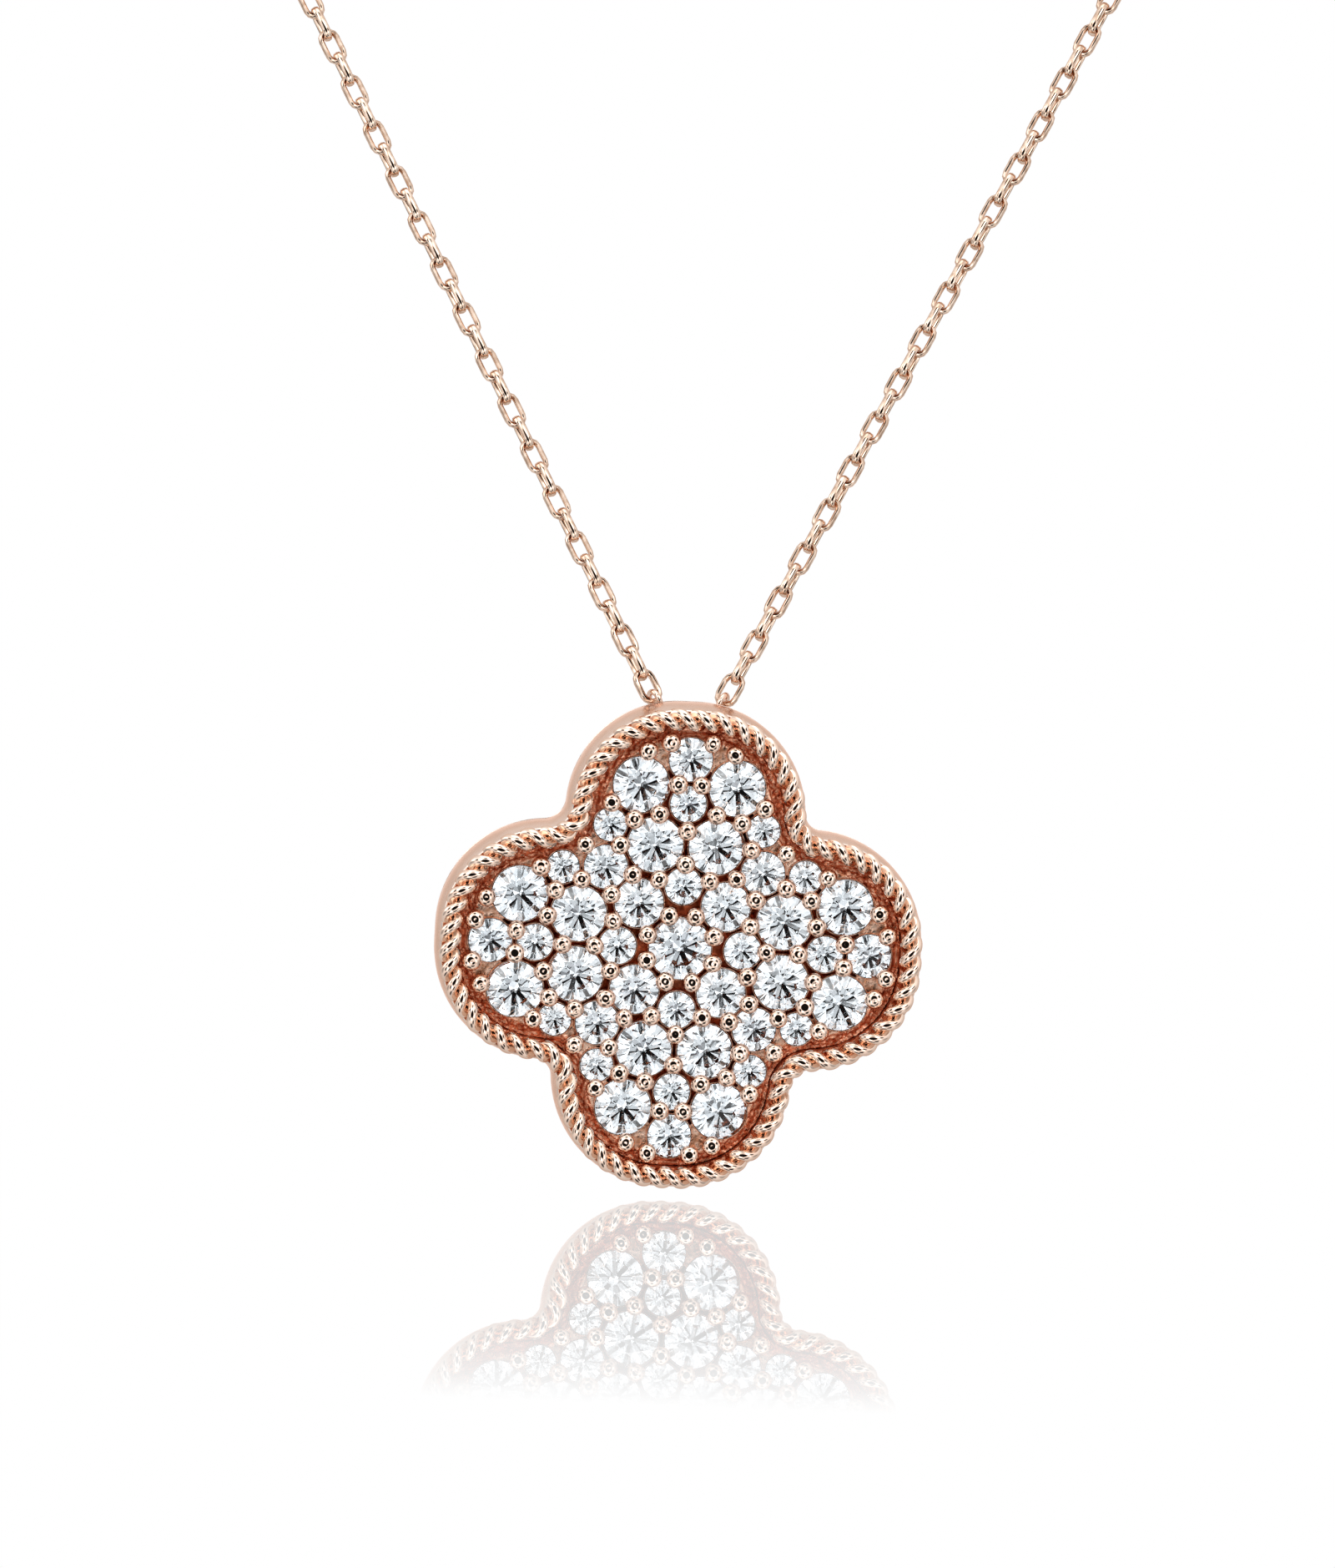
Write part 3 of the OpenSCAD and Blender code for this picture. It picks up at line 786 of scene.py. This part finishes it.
def make_brilliant():
    """A round brilliant, cut from a drum plane by plane: mains, stars and halves."""
    r = 0.5
    table_r = r * TABLE
    half_cos = math.cos(math.radians(HALF_STEP))
    quarter_cos = math.cos(math.radians(QUARTER_STEP))
    crown_deg = math.degrees(math.atan(CROWN / (r * (1 - TABLE))))
    pavilion_deg = math.degrees(math.atan(PAVILION / r))
    tip_z = (r - STAR_TIP_R * half_cos) * math.tan(math.radians(crown_deg))
    star_deg = math.degrees(math.atan((CROWN - tip_z) / (STAR_TIP_R - table_r * half_cos)))
    upper_deg = math.degrees(math.atan(tip_z / (r - STAR_TIP_R * quarter_cos)))
    main_drop = (r - LOWER_JOIN_R * half_cos) * PAVILION / r
    lower_deg = math.degrees(math.atan(main_drop / (r - LOWER_JOIN_R * quarter_cos)))
    stone = started(
        bpy.ops.mesh.primitive_cylinder_add, "brilliant",
        vertices=DRUM_SIDES, radius=r * CUT_SCALE, depth=DRUM_HEIGHT * CUT_SCALE,
        location=(0, 0, (CROWN - DRUM_HEIGHT / 2) * CUT_SCALE), end_fill_type="NGON",
    )
    bpy.ops.object.transform_apply(location=True)
    edit(stone)

    def cut(azimuth, slope, radius, height, up):
        a, b = math.radians(azimuth), math.radians(slope)
        normal = (math.sin(b) * math.cos(a), math.sin(b) * math.sin(a), up * math.cos(b))
        point = (radius * math.cos(a) * CUT_SCALE, radius * math.sin(a) * CUT_SCALE, height * CUT_SCALE)
        bpy.ops.mesh.select_all(action="SELECT")
        bpy.ops.mesh.bisect(
            plane_co=point, plane_no=normal, use_fill=True, clear_outer=True, threshold=0.0001
        )

    for k in range(8):
        cut(FULL_STEP * k, pavilion_deg, r, -GIRDLE, -1)
        cut(FULL_STEP * k, crown_deg, r, 0, 1)
        cut(FULL_STEP * k + HALF_STEP, star_deg, table_r * half_cos, CROWN, 1)
    for k in range(16):
        cut(HALF_STEP * k + QUARTER_STEP, lower_deg, r, -GIRDLE, -1)
        cut(HALF_STEP * k + QUARTER_STEP, upper_deg, r, 0, 1)
    done(stone)
    tidy_normals(stone, weld=0.01)
    stone.data.materials.append(stone_clear)
    return settle(stone, Matrix.Scale(1 / CUT_SCALE, 4))


brilliant = make_brilliant()
for name, at, d in STONES:
    turn = Matrix.Rotation(rng.uniform(0, math.pi / 4), 4, "Z")
    stone = copied(brilliant, stone_place(at) @ leaning(STONE_LEAN) @ turn @ Matrix.Scale(d, 4))
    stone.name = stone.data.name = "cut_" + name
    settle(stone, FACE)
    finish_piece(stone, "pendant", "stone", name)
bpy.data.objects.remove(brilliant)

# Chain


def make_link(width):
    """An oval link with cut flats, long along z, swept round from one section of its wire."""
    bend_r = (width - DRAWN_WIRE) / 2
    leg = (LINK_LEN - DRAWN_WIRE) / 2 - bend_r
    link = started(
        bpy.ops.mesh.primitive_circle_add, "link",
        vertices=WIRE_SIDES, radius=DRAWN_WIRE / 2, fill_type="NOTHING", location=(bend_r, 0, leg),
    )
    bpy.ops.object.transform_apply(location=True)
    edit(link)
    bpy.ops.transform.resize(value=(1, DRAWN_FLAT / DRAWN_WIRE, 1), center_override=(0, 0, 0))
    for way in (1, -1):
        bpy.ops.mesh.spin(steps=BEND_STEPS, angle=math.pi, center=(0, 0, way * leg), axis=(0, 1, 0))
        bpy.ops.mesh.extrude_region_move(TRANSFORM_OT_translate={"value": (0, 0, -way * 2 * leg)})
    done(link)
    tidy_normals(link, weld=0.005)
    link.data.materials.append(drawn)
    return link


def route_points():
    """The right-hand strand's line from its eyelet to the clasp's eye."""
    eye_x = (CLASP_D + CLASP_WIRE + CLASP_EYE_D) / 2
    caught_x = eye_x + (CLASP_EYE_D - CLASP_EYE_WIRE) / 2 - LINK_WIRE / 2 - CAUGHT_GAP
    end = Vector((caught_x + HALF_LINK, CLASP_WIRE / 2, 0))
    knots = [strand_foot + strand_dir * TUBE_START] + [Vector(p) for p in NECK_ROUTE] + [end]
    padded = [knots[0] - strand_dir * (knots[1] - knots[0]).length] + knots + [2 * knots[-1] - knots[-2]]
    line = [strand_foot]
    for i in range(1, len(padded) - 2):
        p0, p1, p2, p3 = padded[i - 1 : i + 3]
        for step in range(ROUTE_STEPS):
            u = step / ROUTE_STEPS
            line.append(
                0.5 * (2 * p1 + (p2 - p0) * u + (2 * p0 - 5 * p1 + 4 * p2 - p3) * u * u
                       + (3 * p1 - p0 - 3 * p2 + p3) * u**3)
            )
    line.append(end)
    return line


def link_places():
    """Place and axes of every link of the right-hand strand, in millimetres."""
    line = route_points()
    lengths = [0.0]
    for a, b in zip(line, line[1:]):
        lengths.append(lengths[-1] + (b - a).length)
    front_end = HALF_LINK + (FRONT_LINKS - 1) * LINK_PITCH
    back_count = round((lengths[-1] - front_end) / LINK_PITCH)
    back_step = (lengths[-1] - front_end) / back_count
    stops = [HALF_LINK + k * LINK_PITCH for k in range(FRONT_LINKS)]
    stops += [front_end + (k + 1) * back_step for k in range(back_count)]
    places, side, seg = [], link_side.copy(), 0
    for stop in stops:
        while seg < len(line) - 2 and lengths[seg + 1] < stop:
            seg += 1
        share = (stop - lengths[seg]) / (lengths[seg + 1] - lengths[seg])
        at = line[seg].lerp(line[seg + 1], min(share, 1))
        along = (line[seg + 1] - line[seg]).normalized()
        side = (side - along * side.dot(along)).normalized()
        places.append((at, along, side.copy()))
    # the last link lies level, through the clasp's upright eye, so the back of the strand turns to it
    _, last_along, last_side = places[-1]
    level = Vector((0, 0, 1)).cross(last_along).normalized()
    flat = last_side if (len(places) - 1) % 2 == 0 else last_along.cross(last_side)
    gap = math.atan2(last_along.dot(flat.cross(level)), flat.dot(level))
    gap = (gap + math.pi / 2) % math.pi - math.pi / 2
    turned_places = []
    for k, (at, along, side) in enumerate(places):
        extra = gap * max(0, k - FRONT_LINKS + 1) / back_count
        turn = extra + (math.pi / 2 if k % 2 else 0)
        x = (Matrix.Rotation(turn, 3, along) @ side).normalized()
        turned_places.append((at, x, along.cross(x), along))
    return turned_places


def link_roll(k, side):
    """How a link is rolled about its length: a little play, and the left strand's own roll."""
    if k == 0:
        return Matrix.Identity(4)
    lean = 0
    if side < 0:
        lean = LEFT_ROLL * min(k / ROLL_GROWS, 1, max(0, FRONT_LINKS + ROLL_FADES - k) / ROLL_FADES)
    return Matrix.Rotation(math.radians(lean + rng.uniform(-LINK_PLAY, LINK_PLAY)), 4, "Z")


def make_strand(name, side, first, last):
    """The links of one stretch of the chain, joined as one piece."""
    links = []
    for k in range(first, last):
        at, x, y, z = places[k]
        if side < 0:
            at, x, y, z = mirrored(at), mirrored(x), -mirrored(y), mirrored(z)
        shape = end_link_shape if k == 0 else link_shape
        links.append(copied(shape, axes_at(at, x, y, z) @ link_roll(k, side)))
    return joined(links, name)


link_shape, end_link_shape = make_link(DRAWN_W), make_link(END_LINK_W)
places = link_places()
for side, word in ((1, "right"), (-1, "left")):
    for part, first, last in (("front", 0, FRONT_LINKS), ("back", FRONT_LINKS, len(places))):
        strand = make_strand(f"links_{word}_{part}", side, first, last)
        smooth(strand, degrees=50)
        settle(strand, ROW)
        finish_piece(strand, "chain", "rose_gold", f"chain_{word}_{part}")
for shape in (link_shape, end_link_shape):
    bpy.data.objects.remove(shape)

# Clasp: where its lever and collars sit round the ring, in degrees, and the lever's radius and height

LEVER_AT, COLLARS_AT, LEVER_SIDES = 52, (68, 118), 18
COLLAR_SUNK, COLLAR_WIRE = 0.04, 0.18
LEVER_RINGS = [(0.16, 0.2), (0.16, 0.62), (0.27, 0.68), (0.30, 0.78), (0.27, 0.90), (0.14, 0.95)]


def make_clasp():
    """A spring ring with its lever, its collars and an eye at each side."""
    upright = Matrix.Translation((0, CLASP_WIRE / 2, 0)) @ Matrix.Rotation(math.pi / 2, 4, "X")

    def on_ring(degrees, axis):
        """A place on the ring's wire, with z along the wire for axis X and outwards for axis Y."""
        round_to = Matrix.Rotation(math.radians(degrees), 4, "Z")
        out = Matrix.Translation((CLASP_D / 2, 0, 0))
        return upright @ round_to @ out @ Matrix.Rotation(math.pi / 2, 4, axis)

    parts = [torus("ring", CLASP_D, CLASP_WIRE, upright, around=64, across=18)]
    eye_x = (CLASP_D + CLASP_WIRE + CLASP_EYE_D) / 2
    for x in (-eye_x, eye_x):
        beside = upright @ Matrix.Translation((x, 0, 0))
        parts.append(torus("eye", CLASP_EYE_D, CLASP_EYE_WIRE, beside, around=36, across=12))
    for degrees in COLLARS_AT:
        place = on_ring(degrees, "X")
        parts.append(torus("collar", CLASP_WIRE - COLLAR_SUNK, COLLAR_WIRE, place, around=28, across=8))
    parts.append(lathe("lever", LEVER_RINGS, LEVER_SIDES, on_ring(LEVER_AT, "Y")))
    return joined(parts, "spring_ring")


clasp = make_clasp()
clasp.data.materials.clear()
clasp.data.materials.append(polished)
smooth(clasp, degrees=50)
settle(clasp, ROW)
finish_piece(clasp, "chain", "rose_gold", "clasp")

# Camera, at the photographer's angle to the upright loop, turned a little about its own line of sight

AZIMUTH, ELEVATION, ROLL = math.radians(-5.5), math.radians(-0.2), math.radians(2.51)
CAMERA_DISTANCE, FRAME_HEIGHT, LONG_SIDE = 550, 70.72, 36
CAMERA_LEFT, CAMERA_ABOVE = 0.569, 7.412
CLIP_NEAR, CLIP_FAR = 0.01, 20
level_in = math.cos(ELEVATION)
view_dir = Vector((-math.sin(AZIMUTH) * level_in, math.cos(AZIMUTH) * level_in, -math.sin(ELEVATION)))
flat_right = view_dir.cross(Vector((0, 0, 1))).normalized()
flat_up = flat_right.cross(view_dir)
camera_up = flat_up * math.cos(ROLL) - flat_right * math.sin(ROLL)
camera_right = flat_right * math.cos(ROLL) + flat_up * math.sin(ROLL)
centre_at = FACE @ Vector((0, 0, -GIRDLE_DROP))
camera_data = bpy.data.cameras.new("camera")
camera_data.sensor_width = LONG_SIDE
camera_data.lens = LONG_SIDE * CAMERA_DISTANCE / FRAME_HEIGHT
camera_data.clip_start, camera_data.clip_end = CLIP_NEAR, CLIP_FAR
camera = bpy.data.objects.new("camera", camera_data)
scene.collection.objects.link(camera)
from_centre = -view_dir * CAMERA_DISTANCE - camera_right * CAMERA_LEFT + camera_up * CAMERA_ABOVE
camera.matrix_world = axes_at(centre_at + from_centre * MM, camera_right, camera_up, -view_dir)
scene.camera = camera

# Floor: its height in millimetres, and in metres how far before and behind the pendant its mirror
# reaches, and how far aside it starts to fade and ends

FLOOR_Z, FLOOR_SIDE = -129.25, 4
MIRROR_BEFORE, MIRROR_BEHIND, MIRROR_FULL, MIRROR_END = 0.200, 0.150, 0.045, 0.110
FLOOR_SHEEN = [
    (0.0, 0.0), (0.02, 0.06), (0.043, 0.14), (0.086, 0.23), (0.134, 0.31),
    (0.189, 0.35), (0.243, 0.37), (0.571, 0.39), (0.62, 0.39), (0.95, 0.0),
]
WHITE = (1, 1, 1, 1)


def floor_material():
    """White acrylic that mirrors the pendant softly, and lets the metal see the light from below."""
    material, tree, shader = new_material("white_acrylic")
    tree.nodes.remove(shader)
    coords = added(tree, "TexCoord", {}).outputs["Object"]
    place = added(tree, "SeparateXYZ", {"Vector": coords})
    reach = added(tree, "MapRange", {
        "Value": place.outputs["Y"], "From Min": hinge.y - MIRROR_BEFORE, "From Max": hinge.y + MIRROR_BEHIND,
    })
    sheen = ramp(tree, FLOOR_SHEEN, reach.outputs["Result"])
    aside = added(tree, "Math", {0: place.outputs["X"]}, operation="ABSOLUTE")
    fade = added(tree, "MapRange", {
        "Value": aside.outputs["Value"], "From Min": MIRROR_FULL, "From Max": MIRROR_END,
        "To Min": 1.0, "To Max": 0.0,
    }, interpolation_type="SMOOTHSTEP")
    share = added(tree, "Math", {0: sheen, 1: fade.outputs["Result"]}, operation="MULTIPLY")
    white = added(tree, "Emission", {"Color": WHITE, "Strength": 1.0})
    mirror = added(tree, "BsdfGlossy", {"Color": WHITE, "Roughness": 0.0})
    top = added(tree, "MixShader", {
        "Fac": share.outputs["Value"], 1: white.outputs["Emission"], 2: mirror.outputs["BSDF"],
    })
    # the metal and stones see the soft light from below through it, as in a light tent
    clear = added(tree, "BsdfTransparent", {})
    seen = added(tree, "MixShader", {
        "Fac": added(tree, "LightPath", {}).outputs["Is Camera Ray"],
        1: clear.outputs["BSDF"], 2: top.outputs["Shader"],
    })
    feed(tree, tree.nodes["Material Output"], {"Surface": seen.outputs["Shader"]})
    return material


floor = started(
    bpy.ops.mesh.primitive_plane_add, "floor", size=FLOOR_SIDE, location=(0, hinge.y, FLOOR_Z * MM)
)
bpy.ops.object.transform_apply(location=True)
floor.data.materials.append(floor_material())

# The light tent, by the angle in degrees from the camera and the grey level there: dark at the camera's
# end and white round it, once for the metal and once for light through stones. Then its top and bottom,
# by the angle from straight up.

FRONT = [
    (0, 0.006), (24, 0.008), (27.5, 0.85), (35, 1.05), (48, 1.0), (70, 0.88), (95, 0.7), (120, 0.62),
    (152, 0.66), (163, 0.88), (168, 1.05), (172, 0.85), (174, 1.15), (180, 1.15),
]
FRONT_STONES = [
    (0, 0.003), (14, 0.006), (16.5, 0.6), (26, 0.95), (50, 1.0), (75, 0.88), (95, 0.78), (180, 0.78),
]
OVERHEAD = [(0, 1.1), (50, 1.1), (80, 0.95), (90, 0.9), (180, 0.85)]

# Black flags and lamps round the camera: direction (right, up, back), half width, soft edge, level
FLAGS = [
    (0.75, 0.30, 0.60, 12, 3, 0.02), (-0.62, -0.42, 0.66, 11, 3, 0.02), (-0.80, 0.35, 0.48, 10, 3, 0.02),
    (0.30, -0.78, 0.55, 12, 4, 0.03), (0.05, 0.80, 0.60, 10, 3, 0.02), (0.95, -0.35, 0.10, 10, 14, 0.50),
    (-0.98, -0.15, 0.05, 10, 14, 0.50), (-0.20, -0.95, 0.20, 14, 5, 0.10), (0.55, -0.45, 0.70, 6, 2, 0.02),
    (-0.30, 0.30, 0.90, 5, 2, 0.02),
]
LAMPS = [
    (0.45, 0.55, 0.72, 11, 6, 1.3), (-0.50, 0.45, 0.75, 10, 6, 1.3), (-0.30, -0.55, 0.80, 8, 5, 1.0),
    (0.62, -0.25, 0.75, 8, 5, 1.0), (0.0, 0.98, 0.1, 16, 10, 0.9), (-0.9, 0.4, 0.0, 12, 8, 0.8),
]

# What light that comes through a stone gets: a lift of the flags, a cool tint and a little more strength
STONE_LIFT, STONE_TINT = 0.20, (0.93, 0.97, 1.0)
METAL_LIGHT, STONE_LIGHT = 1.3, 1.5


def aimed(right, up, back):
    """A direction as the photographer sees it: to the right, up, and back over the shoulder."""
    return (camera_right * right + camera_up * up - view_dir * back).normalized()


def by_angle(tree, sky, direction, stops):
    """A grey level by the angle from a direction, in degrees."""
    dot = added(tree, "VectorMath", {0: sky, 1: direction}, operation="DOT_PRODUCT")
    share = added(tree, "MapRange", {"Value": dot.outputs["Value"], "From Min": -1})
    levels = sorted(((math.cos(math.radians(angle)) + 1) / 2, level) for angle, level in stops)
    return ramp(tree, levels, share.outputs["Result"])


def tent_light(tree, through):
    """The colour of the light tent with its flags and lamps, for metal and for light through stones."""
    sky = added(tree, "TexCoord", {}).outputs["Generated"]
    front = by_angle(tree, sky, -view_dir, FRONT)
    front_stones = by_angle(tree, sky, -view_dir, FRONT_STONES)
    overhead = by_angle(tree, sky, (0, 0, 1), OVERHEAD)
    light = mixed(tree, mixed(tree, front, front_stones, "MIX", through), overhead, "MULTIPLY")
    lift = ramp(tree, [(0.0, 0.0), (1.0, STONE_LIFT)], through)
    for right, up, back, size, edge, level in FLAGS:
        stops = [(0, level), (size, level), (size + edge, 1.0), (180, 1.0)]
        flag = by_angle(tree, sky, aimed(right, up, back), stops)
        light = mixed(tree, light, mixed(tree, flag, lift, "LIGHTEN"), "MULTIPLY")
    for right, up, back, size, edge, level in LAMPS:
        stops = [(0, level), (size, level), (size + edge, 0.0), (180, 0.0)]
        light = mixed(tree, light, by_angle(tree, sky, aimed(right, up, back), stops), "ADD")
    tint = ramp(tree, [(0.0, (1.0, 1.0, 1.0)), (1.0, STONE_TINT)], through)
    return mixed(tree, light, tint, "MULTIPLY")


def light_studio():
    """The light tent for what the object mirrors, and plain white behind it."""
    world = bpy.data.worlds.new("studio")
    scene.world = world
    world.use_nodes = True
    tree = world.node_tree
    path = added(tree, "LightPath", {})
    through = path.outputs["Is Transmission Ray"]
    boost = added(tree, "MapRange", {"Value": through, "To Min": METAL_LIGHT, "To Max": STONE_LIGHT})
    tent = feed(tree, tree.nodes["Background"], {
        "Color": tent_light(tree, through), "Strength": boost.outputs["Result"],
    })
    plain = added(tree, "Background", {"Color": WHITE})
    # only the floor is a perfect mirror, so only its own rays are both singular and reflected
    sees_white = added(tree, "Math", {
        0: path.outputs["Is Singular Ray"],
        1: path.outputs["Is Reflection Ray"],
        2: path.outputs["Is Camera Ray"],
    }, operation="MULTIPLY_ADD")
    seen = added(tree, "MixShader", {
        "Fac": sees_white.outputs["Value"], 1: tent.outputs["Background"], 2: plain.outputs["Background"],
    })
    feed(tree, tree.nodes["World Output"], {"Surface": seen.outputs["Shader"]})


light_studio()
scene.view_settings.view_transform = "Standard"
scene.cycles.max_bounces = 16
scene.cycles.glossy_bounces = 8
scene.cycles.transmission_bounces = 14
